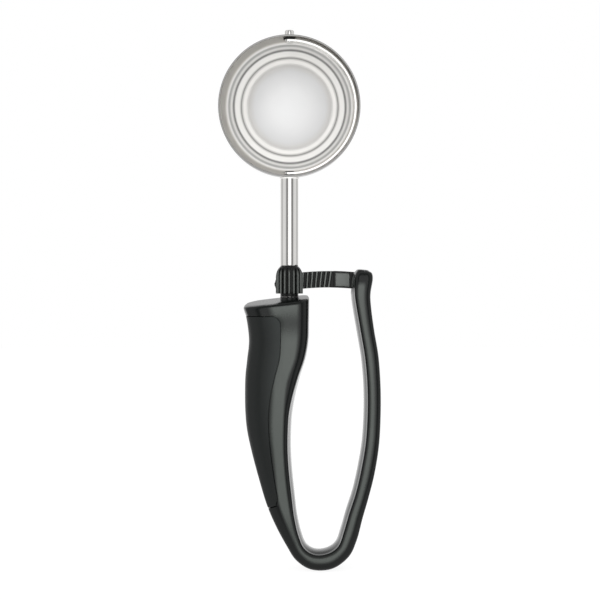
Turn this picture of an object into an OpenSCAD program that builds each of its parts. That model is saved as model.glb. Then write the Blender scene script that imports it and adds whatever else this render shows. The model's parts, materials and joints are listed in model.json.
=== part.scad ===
// Lever ice cream scoop: a hemispherical steel bowl on a steel shank, with a
// sweep blade that a one-hand squeeze loop turns through a rack and a pinion.
//
// Frame, in millimetres: the origin is the centre of the bowl's opening, in the
// plane of its rim. +Z runs along the shank from the handle towards the bowl's
// tip, -Y is the way the bowl opens, and +X is the side of the squeeze lever.

/* [Bowl] */
// Outside diameter of the bowl
bowl_od = 70.5; // [60:0.5:76]
// Thickness of the bowl's sheet
bowl_wall = 0.9; // [0.6:0.1:1.2]
// Straight band between the rim and the shank's axis
rim_band = 5; // [4.6:0.1:8]
// Chamfer that breaks the edges of the rim
rim_break = 0.2; // [0.1:0.05:0.3]

/* [Sweep blade] */
// Thickness of the blade's strip
blade_t = 1.2; // [0.8:0.1:1.6]
// Width of the blade half way along
blade_w = 8; // [6:0.5:9]
// Width of the blade at its rounded ends
blade_end_w = 5; // [4.6:0.1:5.6]
// Running gap between the blade's ends and the bowl, at its bottom pivot
blade_gap = 0.45; // [0.35:0.05:0.8]
// Thickness of the washer between the blade and the bowl at the top pivot
top_washer_t = 0.9; // [0.6:0.1:1.2]
// Outside diameter of the two pivot washers
washer_d = 6; // [5.2:0.1:7]

/* [Top pivot] */
// Diameter of the pivot rivet's shank
pivot_d = 3; // [2.4:0.1:3.4]
// Diameter of the rivet's outer head
pivot_head_d = 4.7; // [4.2:0.1:6]
// Height of the rivet's outer head
pivot_head_h = 2.8; // [1.5:0.1:3.5]
// Height of the riveted heads inside the bowl
rivet_h = 0.6; // [0.4:0.1:1]

/* [Shank] */
// Outside diameter of the bare shank
shank_d = 9.2; // [8.4:0.1:10]
// Wall of the bare shank
shank_wall = 0.9; // [0.8:0.05:1.1]
// Bare length of the shank, from the bowl to the pinion
shank_len = 44; // [35:1:60]
// Outside diameter of the swaged end that the pinion runs on
swage_d = 7.4; // [7:0.1:7.8]
// Length of the shank's end inside the handle
socket_len = 38; // [34:1:42]
// Height of the brazed collar under the bowl
collar_h = 0.8; // [0.5:0.1:1.5]

/* [Spindle] */
// Diameter of the spindle inside the shank
spindle_d = 5; // [4.6:0.1:5.2]
// Length of the bush in the top of the shank
bush_len = 10; // [6:1:16]
// Diameter of the drive key
key_d = 1.6; // [1.2:0.1:2]
// Length of the plug that closes the shank's lower end
plug_len = 5; // [4:0.5:6]
// Diameter of the anchor pin moulded into the handle
anchor_d = 2.5; // [2:0.1:3]
// Length of the anchor pin
anchor_len = 14; // [11:0.5:15]

/* [Pinion and rack] */
// Teeth on the pinion
pinion_teeth = 17; // [15:1:17]
// Pitch radius of the pinion
pitch_r = 6.06; // [6:0.01:6.2]
// Height of the toothed part of the pinion, with its domed top
pinion_h = 13.8; // [13:0.1:15]
// Radius of the rounding of the dome
dome_r = 7.3; // [6.9:0.1:8]
// Height of the pinion's lower hub
hub_h = 1.5; // [1:0.1:2]
// Thickness of the thrust washer under the pinion
thrust_t = 0.4; // [0.3:0.05:0.6]
// Play between the teeth of the rack and the pinion
backlash = 0.3; // [0.26:0.02:0.4]
// Height of the rack
rack_h = 8.4; // [7:0.1:9]
// Drop from the pinion's top to the rack's middle
rack_drop = 8; // [7.5:0.1:8.5]
// Thickness of the rack behind its teeth
rack_web = 1.5; // [1.2:0.1:1.8]
// Length of the plain panel between the teeth and the lever
panel_len = 7.2; // [6:0.1:8]
// Depth of the rack's root in the lever's head
rack_seat = 2.7; // [2:0.1:4]
// Width of the rails round the panel's recess
panel_rail = 0.9; // [0.6:0.1:1.2]
// Height of those rails
panel_rise = 0.8; // [0.5:0.1:0.8]

/* [Handle] */
// Drop from the lever's hinge line up to the rack at the pinion
lever_reach = 136.35; // [130:0.05:140]
// Distance of the hinge line to the right of the shank
hinge_x = 20; // [18:0.5:21]
// Radius of the hinge's knuckle
knuckle_r = 3.3; // [3:0.1:3.5]
// Length of the knuckle
knuckle_len = 13; // [8:1:14]
// Gap left at the hinge for the lever's stroke
hinge_gap = 1; // [0.9:0.05:1.5]
// Thickness of the soft grip pad
pad_t = 1.8; // [1.2:0.1:2.2]
// Radius of the pad's corners
pad_corner = 5; // [3:0.5:6]
// Diameter of the handle's boss round the shank
boss_d = 9.2; // [8.8:0.1:9.6]

/* [Hidden] */
$fn = 96;

run_gap = 0.05;   // radial play of a shaft in its hole
seat_gap = 0.02;  // play between pieces that are seated on each other
tiny = 0.01;      // overshoot of a cut past a face

// Bowl and blade. The shank's axis stands one band's depth behind the rim.
bowl_or = bowl_od / 2;
bowl_ir = bowl_or - bowl_wall;
axis_y = rim_band;
// The blade is a strip of a sphere whose centre sits a little below the bowl's,
// so that it clears the bottom by the blade gap and the top by the washer.
blade_drop = (top_washer_t - blade_gap) / 2;
blade_flat_r = bowl_ir - (top_washer_t + blade_gap) / 2;
blade_or = sqrt(pow(blade_flat_r, 2) + pow(blade_end_w / 2, 2));
blade_ir = blade_or - blade_t;
blade_top_z = blade_flat_r - blade_drop;
blade_bottom_z = -blade_flat_r - blade_drop;
rivet_head_d = blade_end_w - 0.4;
stud_d = 3;
// depth of the blade's inner face at the edge of a riveted head
head_seat = sqrt(pow(blade_ir, 2) - pow(rivet_head_d / 2, 2));
washer_edge_z = sqrt(pow(bowl_ir, 2) - pow(washer_d / 2, 2));

// Heights down the shank
pinion_top = -bowl_or - shank_len;
shoulder_gap = 0.05;
pinion_z = pinion_top - shoulder_gap;
hub_top = pinion_z - pinion_h;
hub_bottom = hub_top - hub_h;
thrust_top = hub_bottom - shoulder_gap;
boss_top = thrust_top - thrust_t - seat_gap;
shank_bottom = boss_top - socket_len;
collar_bottom = -bowl_or - collar_h;
shank_ir = shank_d / 2 - shank_wall;
spindle_r = spindle_d / 2;
liner_r = spindle_r + run_gap;

// Pinion teeth
tooth_angle = 360 / pinion_teeth;
tooth_module = 2 * pitch_r / pinion_teeth;
pressure = 20;
base_r = pitch_r * cos(pressure);
tip_r = pitch_r + tooth_module;
root_r = pitch_r - 1.25 * tooth_module;
pinion_play = backlash / 3;
rack_play = backlash - pinion_play;
dome_drop = 5.5;
hub_r = boss_d / 2 - 0.1;
key_end_r = root_r - 0.2;

// The hinge line, and the rack as an arc about it
rack_z = pinion_z - rack_drop;
hinge_z = rack_z - lever_reach;
drive_ratio = lever_reach / pitch_r;
rack_step = tooth_angle / drive_ratio;
rack_r = norm([hinge_x, lever_reach]);
rack_lean = atan(hinge_x / lever_reach);
teeth_left = 1;
teeth_right = 9;
tooth_front = pitch_r - tooth_module;
rack_root = pitch_r + 1.25 * tooth_module;
rack_back = rack_root + rack_web;
key_z = rack_z + 0.5;
sweep_angle = 180;
window_margin = 6;

// ---------------------------------------------------------------- loop shape
// The loop is lofted from stations that run down the grip, round the bend and
// up the lever. Each station is [outer x, outer z, inner x, inner z, half depth,
// outer corner radius, inner corner radius, crown of the inner wall, seam], where
// the seam is the pad's edge, measured from the outer side. They are drawn with
// the boss and the hinge line at the places that come next, and moved to the real
// ones: the first stations stay with the boss, and the others with the hinge line,
// stretched up to the rack.
drawn_boss_z = -95.4;
drawn_hinge_z = -223.6;
drawn_hinge_x = 20;
drawn_reach = 136.35;
boss_stations = 3;
STATIONS = [
  [-21.40,  -98.9,  9.40,  -95.3, 11.0, 8.0, 4.5, 0.2, 15.0],
  [-22.70, -100.6,  9.95,  -96.9, 12.0, 9.0, 5.0, 0.2, 16.5],
  [-21.20, -106.0,  9.90, -106.0, 12.2, 9.0, 5.0, 0.2, 17.0],
  [-20.00, -116.0,  9.70, -116.0, 12.2, 9.0, 5.0, 0.3, 16.0],
  [-20.90, -125.5,  8.30, -125.0, 12.2, 9.0, 4.8, 0.5, 16.3],
  [-21.80, -134.0,  5.50, -134.0, 12.2, 9.0, 4.2, 0.8, 15.0],
  [-22.00, -143.0,  3.20, -143.0, 12.2, 9.0, 3.4, 1.2, 13.2],
  [-21.80, -152.0,  1.60, -152.0, 12.0, 8.6, 2.8, 1.5, 11.9],
  [-20.90, -161.0,  1.00, -160.5, 11.7, 8.0, 2.6, 1.5, 11.1],
  [-18.50, -172.0,  0.90, -170.0, 11.2, 7.2, 2.5, 1.5,  9.6],
  [-15.20, -184.2,  1.50, -180.5, 10.6, 6.0, 2.5, 1.5,  8.0],
  [-11.30, -197.0,  2.70, -192.0, 10.0, 4.6, 2.5, 1.5,  6.6],
  [ -7.00, -207.2,  3.90, -202.2,  9.7, 4.0, 2.4, 1.5,  6.0],
  [ -1.50, -217.4,  5.80, -211.3,  9.5, 3.4, 2.4, 1.5,  5.2],
  [  3.50, -224.9,  8.40, -217.5,  9.5, 3.2, 2.4, 1.5,  5.0],
  [ 11.20, -229.4, 13.10, -220.3,  9.5, 3.0, 2.4, 1.5,  5.0],
  [ 21.30, -228.9, 18.90, -219.6,  9.5, 3.0, 2.4, 1.5,  5.0],
  [ 29.40, -223.0, 23.20, -216.2,  9.5, 3.0, 2.4, 1.5,  5.0],
  [ 33.40, -214.6, 25.70, -209.6,  9.5, 2.8, 2.4, 1.5,  5.0],
  [ 36.00, -204.0, 28.00, -200.8,  9.5, 2.6, 2.4, 1.5,  5.0],
  [ 39.20, -193.6, 31.30, -190.6,  9.5, 2.5, 2.4, 1.5,  5.0],
  [ 42.20, -181.6, 33.90, -179.2,  9.5, 2.5, 2.4, 1.5,  5.0],
  [ 44.40, -167.5, 36.00, -166.5,  9.5, 2.5, 2.4, 1.5,  5.0],
  [ 45.20, -152.0, 36.90, -152.0,  9.5, 2.5, 2.4, 1.5,  5.0],
  [ 45.10, -138.0, 36.80, -138.4,  9.5, 2.5, 2.4, 1.5,  5.0],
  [ 44.10, -124.0, 35.70, -125.2,  9.5, 2.5, 2.4, 1.5,  5.0],
  [ 42.00, -111.5, 33.70, -113.0,  9.6, 2.5, 2.4, 1.5,  5.0],
  [ 40.50, -100.5, 31.70, -101.4,  9.8, 2.5, 2.4, 1.5,  5.0],
  [ 40.10,  -93.5, 30.70,  -93.5, 10.0, 2.5, 2.4, 1.4,  5.0],
  [ 41.20,  -86.5, 31.20,  -86.5, 10.0, 2.8, 2.4, 1.0,  5.0],
  [ 40.90,  -83.2, 31.90,  -83.2,  9.6, 2.8, 2.4, 0.8,  5.0],
  [ 39.40,  -82.0, 33.30,  -81.5,  8.4, 2.0, 2.0, 0.4,  3.2]
];
hinge_station = 16;
last_station = len(STATIONS) - 1;
// the top face of the grip leans back, so its front edge is the lower one
top_lean = 0.13;
lean_stations = 3;
// the pad runs between these places along the stations
pad_start = 1.75;
pad_end = 11.2;
seam_gap = 0.1;
corner_steps = 4;

// A station, moved. The bend and the lever shift sideways with the hinge line.
function moved_z(i, z) =
  i < boss_stations
    ? boss_top + z - drawn_boss_z
    : hinge_z + (z - drawn_hinge_z) * lever_reach / drawn_reach;
function at(p) =
  let (
    i = max(0, min(last_station, p)),
    s = STATIONS[i],
    share = max(0, min(1, (i - boss_stations) / (hinge_station - boss_stations))),
    shift = share * (hinge_x - drawn_hinge_x)
  )
  [
    s[0] + shift, moved_z(i, s[1]), s[2] + shift, moved_z(i, s[3]),
    s[4], s[5], s[6], s[7], s[8]
  ];

// A place between two stations, on the smooth curve through their neighbours.
function spline(a, b, c, d, t) =
  b + (c - a) * t / 2
  + (2 * a - 5 * b + 4 * c - d) * pow(t, 2) / 2
  + (3 * b - a - 3 * c + d) * pow(t, 3) / 2;
function place(p) =
  let (i = min(floor(p), last_station - 1))
  spline(at(i - 1), at(i), at(i + 1), at(i + 2), p - i);

// One corner of a section: an arc of so many steps.
function corner(u, v, r, from, to) = [
  for (k = [0 : corner_steps])
    let (a = from + (to - from) * k / corner_steps)
    [u + r * cos(a), v + r * sin(a)]
];

// Half of a section's outer part, which the pad covers, sunk by some depth.
function outer_half(s, seam, sink) =
  let (r = s[5])
  concat(corner(r, s[4] - r, r - sink, 180, 90), [[seam - seam_gap, s[4] - sink]]);

// Half of the rest of the section, up to its crowned inner wall.
function inner_half(s, seam) =
  let (
    r = s[6],
    w = norm([s[2] - s[0], s[3] - s[1]]) - s[7],
    v0 = s[4] - r
  )
  concat(
    [[seam, s[4]]],
    corner(w - r, v0, r, 90, 0),
    [for (v = [0.6, 0.2]) [w + s[7] * (1 - pow(v, 2)), v * v0]]
  );

function reversed(points) = [for (k = [len(points) - 1 : -1 : 0]) points[k]];
function mirrored(points) = [for (q = reversed(points)) [q[0], -q[1]]];
function with_mirror(half) = concat(half, mirrored(half));

// A section's points in space: u runs from the outer side to the inner one.
function in_space(s, lean, points) =
  let (
    w = norm([s[2] - s[0], s[3] - s[1]]),
    dx = (s[2] - s[0]) / w,
    dz = (s[3] - s[1]) / w
  )
  [for (q = points) [s[0] + dx * q[0], axis_y + q[1], s[1] + dz * q[0] + lean * q[1]]];

function lean_at(p) = top_lean * max(0, 1 - p / lean_stations);

// The seam curls in by a rounded corner towards the pad's two ends, and stays
// clear of the rounding of the section's outer corners.
function seam_drop(d) = 0.8 * (pad_corner - sqrt(pow(pad_corner, 2) - pow(pad_corner - d, 2)));
function seam_at(p) =
  let (
    s = place(p),
    z = (s[1] + s[3]) / 2,
    a = place(pad_start),
    b = place(pad_end),
    d = min(abs(z - (a[1] + a[3]) / 2), abs(z - (b[1] + b[3]) / 2), pad_corner),
    drop = (p < pad_start || p > pad_end) ? 0.8 * pad_corner : seam_drop(d)
  )
  max(s[8] - drop, s[5] + 0.4);

function loop_ring(p, sink) =
  let (s = place(p), seam = seam_at(p))
  in_space(s, lean_at(p), with_mirror(concat(outer_half(s, seam, sink), inner_half(s, seam))));

function slab_ring(p) =
  let (
    s = place(p),
    seam = seam_at(p),
    outside = outer_half(s, seam, 0),
    inside = outer_half(s, seam, pad_t)
  )
  in_space(
    s,
    lean_at(p),
    concat(mirrored(outside), outside, reversed(inside), reversed(mirrored(inside)))
  );

// Joins rings of points into a closed solid. Each end is closed by a strip of
// triangles between the first and the second half of the ring.
module skin(rings) {
  m = len(rings[0]);
  n = len(rings);
  walls = [
    for (i = [0 : n - 2], k = [0 : m - 1])
      let (a = i * m + k, b = i * m + (k + 1) % m)
      each [[a, a + m, b + m], [a, b + m, b]]
  ];
  first = [
    for (k = [0 : m / 2 - 2])
      each [[k, k + 1, m - 2 - k], [k, m - 2 - k, m - 1 - k]]
  ];
  last = [for (f = first) [for (k = [2 : -1 : 0]) f[k] + (n - 1) * m]];
  polyhedron(points = [for (r = rings) each r], faces = concat(walls, first, last));
}

// Turns a shape about the hinge line; positive opens the loop.
module about_hinge(angle) {
  translate([hinge_x, 0, hinge_z])
    rotate([0, angle, 0])
      translate([-hinge_x, 0, -hinge_z])
        children();
}

// Stands a shape that was drawn upright on the shank's axis.
module on_shank(z = 0) {
  translate([0, axis_y, z])
    children();
}

// Lays a shape's +Z along +Y, from the shank's axis or from a given depth.
module facing_back(y = 0) {
  translate([0, axis_y + y, 0])
    rotate([-90, 0, 0])
      children();
}

module ring(r_out, r_in, h) {
  difference() {
    cylinder(r = r_out, h = h);
    translate([0, 0, -tiny])
      cylinder(r = r_in, h = h + 2 * tiny);
  }
}

// ---------------------------------------------------------------- steel parts
module bowl() {
  color("gainsboro")
  difference() {
    facing_back()
      union() {
        rotate_extrude()
          intersection() {
            difference() {
              circle(r = bowl_or);
              circle(r = bowl_ir);
            }
            square(bowl_or + 1);
          }
        rotate_extrude()
          polygon([
            [bowl_ir, 0],
            [bowl_ir, rim_break - rim_band],
            [bowl_ir + rim_break, -rim_band],
            [bowl_or - rim_break, -rim_band],
            [bowl_or, rim_break - rim_band],
            [bowl_or, 0]
          ]);
      }
    on_shank()
      cylinder(r = pivot_d / 2 + run_gap, h = bowl_or + 1);
    on_shank(-bowl_or - 1)
      cylinder(r = liner_r, h = bowl_or + 1);
  }
}

// A saddle-shaped ring that is brazed between the shank's end and the bowl.
module shank_collar() {
  color("silver")
  difference() {
    on_shank(collar_bottom)
      ring(shank_d / 2, shank_ir, collar_h + bowl_wall);
    bowl_space(bowl_or);
  }
}

// What the bowl takes up with its hollow: half a ball, and the band before it.
module bowl_space(r) {
  on_shank()
    sphere(r = r, $fn = 480);
  facing_back(-rim_band)
    cylinder(r = r, h = rim_band, $fn = 480);
}

module shank_tube() {
  color("silver")
  difference() {
    on_shank()
      union() {
        translate([0, 0, pinion_top])
          cylinder(r = shank_d / 2, h = collar_bottom - pinion_top);
        translate([0, 0, shank_bottom])
          cylinder(r = swage_d / 2, h = pinion_top - shank_bottom + tiny);
      }
    on_shank(collar_bottom - bush_len)
      cylinder(r = shank_ir, h = bush_len + 1);
    on_shank(shank_bottom - 1)
      cylinder(r = liner_r, h = collar_bottom - shank_bottom + 2);
    key_window();
    anchor_hole(anchor_d / 2);
  }
}

// The slot in the shank's wall that the drive key swings through.
module key_window() {
  half_key = asin((key_d / 2) / liner_r) + window_margin;
  reach = swage_d;
  on_shank(key_z - key_d / 2 - 2 * run_gap)
    linear_extrude(key_d + 4 * run_gap)
      polygon(concat(
        [[0, 0]],
        [
          for (a = [-half_key : (sweep_angle + 2 * half_key) / 8 : sweep_angle + half_key])
            [reach * cos(a), reach * sin(a)]
        ]
      ));
}

// The pin's hole, from front to back, where the grip is deepest.
module anchor_hole(r) {
  on_shank(shank_bottom + plug_len / 2)
    rotate([90, 0, 0])
      cylinder(r = r, h = anchor_len, center = true);
}

// The nylon bearing that centres the spindle at the bowl's end of the shank.
module upper_bush() {
  color("ivory")
  difference() {
    on_shank(collar_bottom - bush_len + seat_gap)
      ring(shank_ir - seat_gap, liner_r, bush_len + collar_h);
    bowl_space(bowl_or + seat_gap);
  }
}

module tube_plug() {
  color("ivory")
  difference() {
    on_shank(shank_bottom)
      cylinder(r = liner_r - seat_gap, h = plug_len);
    anchor_hole(anchor_d / 2);
  }
}

module anchor_pin() {
  color("silver")
    anchor_hole(anchor_d / 2 - seat_gap);
}

module thrust_washer() {
  color("dimgray")
    on_shank(thrust_top - thrust_t)
      ring(boss_d / 2, swage_d / 2 + run_gap, thrust_t);
}

// ---------------------------------------------------------------- sweep parts
module spindle() {
  color("silver")
  on_shank()
    union() {
      spindle_bottom = shank_bottom + plug_len + seat_gap;
      difference() {
        translate([0, 0, spindle_bottom])
          cylinder(r = spindle_r, h = blade_bottom_z - spindle_bottom);
        translate([0, 0, key_z])
          rotate([0, 90, 0])
            cylinder(r = key_d / 2, h = spindle_r + 1);
      }
      translate([0, 0, blade_bottom_z - tiny])
        cylinder(r = stud_d / 2, h = blade_t + rivet_h + tiny);
    }
}

// The strip: a spherical shell cut to a lens that narrows to two round ends.
module sweep_blade() {
  lens_r = (pow(blade_or, 2) + pow((blade_w - blade_end_w) / 2, 2)) / (blade_w - blade_end_w);
  color("gainsboro")
  on_shank()
    difference() {
      intersection() {
        translate([0, 0, -blade_drop])
          difference() {
            sphere(r = blade_or);
            sphere(r = blade_ir);
          }
        translate([0, 0, -blade_drop - blade_flat_r])
          union() {
            intersection() {
              translate([0, -blade_w / 2, 0])
                cube([blade_or + 1, blade_w, 2 * blade_flat_r]);
              lens_side(lens_r - blade_w / 2, lens_r);
              lens_side(blade_w / 2 - lens_r, lens_r);
            }
            cylinder(r = blade_end_w / 2, h = 2 * blade_flat_r);
          }
      }
      translate([0, 0, -bowl_or])
        cylinder(r = stud_d / 2 + seat_gap, h = 2 * bowl_or);
    }
}

module lens_side(y, r) {
  translate([-1, y, blade_flat_r])
    rotate([0, 90, 0])
      cylinder(r = r, h = blade_or + 3, $fn = 360);
}

module blade_rivet_washer() {
  color("silver")
    on_shank(-head_seat - blade_drop)
      ring(rivet_head_d / 2, stud_d / 2 + seat_gap, rivet_h);
}

// The rivet that carries the blade's top end in the bowl's wall.
module top_pivot_rivet() {
  head_z = bowl_or + run_gap;
  head_r = pivot_head_d / 2;
  chamfer = 0.5;
  color("silver")
  on_shank()
    union() {
      translate([0, 0, head_seat - blade_drop - rivet_h - seat_gap])
        cylinder(r = rivet_head_d / 2, h = rivet_h);
      translate([0, 0, head_seat - blade_drop - rivet_h])
        cylinder(r = pivot_d / 2, h = head_z - head_seat + blade_drop + rivet_h + tiny);
      translate([0, 0, head_z])
        cylinder(r = head_r, h = pivot_head_h - chamfer);
      translate([0, 0, head_z + pivot_head_h - chamfer - tiny])
        cylinder(r1 = head_r, r2 = head_r - chamfer, h = chamfer);
    }
}

// Nylon washers that hold the blade's two ends off the bowl's wall.
module pivot_washers() {
  color("black")
  on_shank()
    union() {
      translate([0, 0, blade_top_z + seat_gap])
        ring(washer_d / 2, pivot_d / 2 + seat_gap, washer_edge_z - blade_top_z - 3 * seat_gap);
      translate([0, 0, seat_gap - washer_edge_z])
        ring(washer_d / 2, spindle_r + seat_gap, washer_edge_z + blade_bottom_z - 3 * seat_gap);
    }
}

// ---------------------------------------------------------------- pinion
function roll(r) =
  let (a = acos(min(1, base_r / r)))
  tan(a) * 180 / PI - a;
function half_tooth(r) =
  90 / pinion_teeth + roll(pitch_r) - roll(max(r, base_r))
  - pinion_play / pitch_r * 90 / PI;
tooth_radii = [
  root_r,
  base_r,
  (base_r + pitch_r) / 2,
  pitch_r,
  (pitch_r + tip_r) / 2,
  tip_r
];
function polar(r, a) = [r * cos(a), r * sin(a)];
// A tooth space faces the rack, so the first tooth stands half a step off it.
pinion_outline = [
  for (k = [0 : pinion_teeth - 1])
    let (a = 90 + (k + 0.5) * tooth_angle)
    each concat(
      [for (r = tooth_radii) polar(r, a - half_tooth(r))],
      [for (j = [len(tooth_radii) - 1 : -1 : 0])
        polar(tooth_radii[j], a + half_tooth(tooth_radii[j]))]
    )
];

module pinion() {
  color("black")
  difference() {
    on_shank()
      union() {
        intersection() {
          translate([0, 0, hub_top])
            linear_extrude(pinion_h)
              polygon(pinion_outline);
          translate([0, 0, hub_top])
            rotate_extrude()
              dome_outline();
        }
        translate([0, 0, hub_bottom])
          cylinder(r = hub_r, h = hub_h + tiny);
      }
    on_shank(hub_bottom - 1)
      cylinder(r = swage_d / 2 + run_gap, h = pinion_h + hub_h + 2);
    on_shank(key_z)
      rotate([0, 90, 0])
        cylinder(r = key_d / 2 + seat_gap, h = key_end_r + seat_gap);
  }
}

// Half of the dome's outline, from the foot of the teeth up.
module dome_outline() {
  bulge_r = tip_r + 0.04;
  intersection() {
    square([bulge_r, pinion_h]);
    union() {
      square([bulge_r, pinion_h - dome_drop]);
      translate([bulge_r - dome_r, pinion_h - dome_drop])
        circle(r = dome_r);
    }
  }
}

module drive_key() {
  color("silver")
    on_shank(key_z)
      rotate([0, 90, 0])
        cylinder(r = key_d / 2 - seat_gap, h = key_end_r);
}

// ---------------------------------------------------------------- handle
function ring_places(from, to, step) = [for (p = [from : step : to]) p];
pad_places = concat(
  [for (d = [0.02, 0.1, 0.25, 0.5]) pad_start + d],
  ring_places(2.5, 10.5, 0.5),
  [for (d = [0.4, 0.2, 0.08, 0.02]) pad_end - d]
);

// The moulded grip, down to the hinge in the loop's bend.
module handle_body() {
  rings = concat(
    [for (p = [0, 0.5, 1, 1.5, pad_start]) loop_ring(p, 0)],
    [for (p = pad_places) loop_ring(p, pad_t + seat_gap)],
    [for (p = concat([pad_end], ring_places(11.5, hinge_station, 0.5))) loop_ring(p, 0)]
  );
  color("darkslategray")
  difference() {
    union() {
      skin(rings);
      on_shank(boss_top - boss_d)
        cylinder(r = boss_d / 2, h = boss_d);
    }
    on_shank(shank_bottom - seat_gap)
      cylinder(r = swage_d / 2 + seat_gap, h = socket_len + 1);
    anchor_hole(anchor_d / 2);
    translate([hinge_x, axis_y - knuckle_len / 2 - 0.3, hinge_z])
      rotate([-90, 0, 0])
        cylinder(r = knuckle_r + 2 * run_gap, h = knuckle_len + 0.6);
  }
}

// The soft pad on the palm's side, let into the grip flush with it.
module grip_pad() {
  color("dimgray")
    skin([for (p = pad_places) slab_ring(p)]);
}

// ---------------------------------------------------------------- lever
// The free leg of the loop, from the knuckle in the bend up to its round head.
module lever_arm() {
  start = loop_ring(hinge_station, 0);
  edge = at(hinge_station);
  long = norm([edge[2] - edge[0], edge[3] - edge[1]]);
  along = [(edge[3] - edge[1]) / long, 0, (edge[0] - edge[2]) / long];
  rings = concat(
    [[for (q = start) q + along * hinge_gap]],
    [for (p = ring_places(hinge_station + 0.5, last_station, 0.5)) loop_ring(p, 0)]
  );
  color("darkslategray")
  difference() {
    union() {
      skin(rings);
      translate([hinge_x, axis_y - knuckle_len / 2, hinge_z])
        rotate([-90, 0, 0])
          cylinder(r = knuckle_r, h = knuckle_len);
    }
    rack_band(rack_h + 2 * seat_gap, rack_root - panel_rise - seat_gap, rack_back + seat_gap, 0);
  }
}

// The places where the rack starts, its panel starts and its root ends, as turns
// about the hinge line from the pinion.
left_turn = -(teeth_left + 0.5) * rack_step;
panel_turn = (teeth_right + 0.85) * rack_step;
lever_turn = panel_turn + asin(panel_len / rack_r);
head_station = 29;
head_x = at(head_station)[2];
root_turn = rack_lean + asin((head_x + rack_seat - hinge_x) / rack_r);

// A curved band about the hinge line, from the rack's left end to its root.
module rack_band(height, front, back, from, to = root_turn) {
  r0 = rack_r - height / 2;
  r1 = rack_r + height / 2;
  far = 2 * rack_r;
  translate([hinge_x, axis_y + back, hinge_z])
    rotate([90, 0, 0])
      linear_extrude(back - front)
        intersection() {
          difference() {
            circle(r = r1, $fn = 360);
            circle(r = r0, $fn = 360);
          }
          polygon([
            [0, 0],
            far * [sin(from - rack_lean), cos(from - rack_lean)],
            far * [sin(to - rack_lean), cos(to - rack_lean)]
          ]);
        }
}

module rack_tooth() {
  foot = rack_root - pitch_r + tiny;
  half = PI * tooth_module / 4 - rack_play / 2;
  slope = tan(pressure);
  translate([0, axis_y + pitch_r, rack_z - rack_h])
    linear_extrude(2 * rack_h)
      polygon([
        [-half - foot * slope, foot],
        [-half + tooth_module * slope, -tooth_module],
        [half - tooth_module * slope, -tooth_module],
        [half + foot * slope, foot]
      ]);
}

module rack_strip() {
  step = 0.05;
  inner_h = rack_h - 2 * step;
  color("black")
  union() {
    rack_band(rack_h, rack_root, rack_back, left_turn);
    // the round left end
    about_hinge(left_turn)
      translate([0, axis_y + rack_root + tiny, rack_z])
        rotate([-90, 0, 0])
          cylinder(r = inner_h / 2, h = rack_web - 2 * tiny);
    // the teeth, each upright when it reaches the pinion
    intersection() {
      union()
        for (k = [-teeth_left : teeth_right])
          about_hinge(k * rack_step)
            rack_tooth();
      rack_band(inner_h, tooth_front - 1, rack_back - tiny, left_turn - 5);
    }
    // the frame of the panel next to the lever
    difference() {
      rack_band(inner_h, rack_root - panel_rise, rack_root + tiny, panel_turn, root_turn - step);
      rack_band(inner_h - 2 * panel_rail, rack_root - 2, rack_back, panel_turn + 0.35, lever_turn);
    }
  }
}

// ---------------------------------------------------------------- assembly
bowl();
shank_collar();
shank_tube();
upper_bush();
tube_plug();
anchor_pin();
thrust_washer();
handle_body();
grip_pad();
spindle();
sweep_blade();
blade_rivet_washer();
top_pivot_rivet();
pivot_washers();
pinion();
drive_key();
lever_arm();
rack_strip();
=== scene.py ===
"""Dresses the lever ice cream scoop: bowl, sweep blade, shank, pinion, rack, grip loop and pad."""

import json
import math

import bmesh
import bpy
import numpy as np
from bpy.props import FloatProperty, FloatVectorProperty, PointerProperty
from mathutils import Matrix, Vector


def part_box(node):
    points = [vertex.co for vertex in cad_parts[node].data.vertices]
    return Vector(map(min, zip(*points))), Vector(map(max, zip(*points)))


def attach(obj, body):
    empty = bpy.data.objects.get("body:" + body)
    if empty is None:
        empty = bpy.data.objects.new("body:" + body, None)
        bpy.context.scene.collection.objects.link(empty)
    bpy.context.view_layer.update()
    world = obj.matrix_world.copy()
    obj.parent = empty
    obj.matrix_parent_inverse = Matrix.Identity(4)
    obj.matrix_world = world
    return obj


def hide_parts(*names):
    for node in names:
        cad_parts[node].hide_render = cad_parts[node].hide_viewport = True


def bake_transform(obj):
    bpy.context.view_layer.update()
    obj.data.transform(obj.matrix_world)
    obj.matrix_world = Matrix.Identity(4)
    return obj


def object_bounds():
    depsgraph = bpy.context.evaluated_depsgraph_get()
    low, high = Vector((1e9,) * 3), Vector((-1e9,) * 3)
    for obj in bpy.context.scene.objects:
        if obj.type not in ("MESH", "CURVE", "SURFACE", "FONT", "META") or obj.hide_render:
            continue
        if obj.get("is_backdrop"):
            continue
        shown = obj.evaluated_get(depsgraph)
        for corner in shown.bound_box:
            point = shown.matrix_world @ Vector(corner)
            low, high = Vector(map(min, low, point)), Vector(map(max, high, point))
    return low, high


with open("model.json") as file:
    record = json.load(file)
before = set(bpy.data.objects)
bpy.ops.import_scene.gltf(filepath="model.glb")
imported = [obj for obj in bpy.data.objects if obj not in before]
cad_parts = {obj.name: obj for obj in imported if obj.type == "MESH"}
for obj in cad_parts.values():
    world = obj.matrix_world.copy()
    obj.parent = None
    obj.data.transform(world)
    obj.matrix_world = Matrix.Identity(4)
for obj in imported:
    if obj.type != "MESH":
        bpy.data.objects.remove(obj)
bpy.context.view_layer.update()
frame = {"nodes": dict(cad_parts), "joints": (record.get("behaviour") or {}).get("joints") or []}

bl_info = {
    "name": "Lever Ice Cream Scoop",
    "version": (1, 0, 0),
    "blender": (4, 5, 0),
    "location": "3D View > Sidebar > Scoop",
    "description": "Builds the pieces of a squeeze-handled ice cream scoop round its solids",
    "category": "Add Mesh",
}

MM = 0.001


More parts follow.
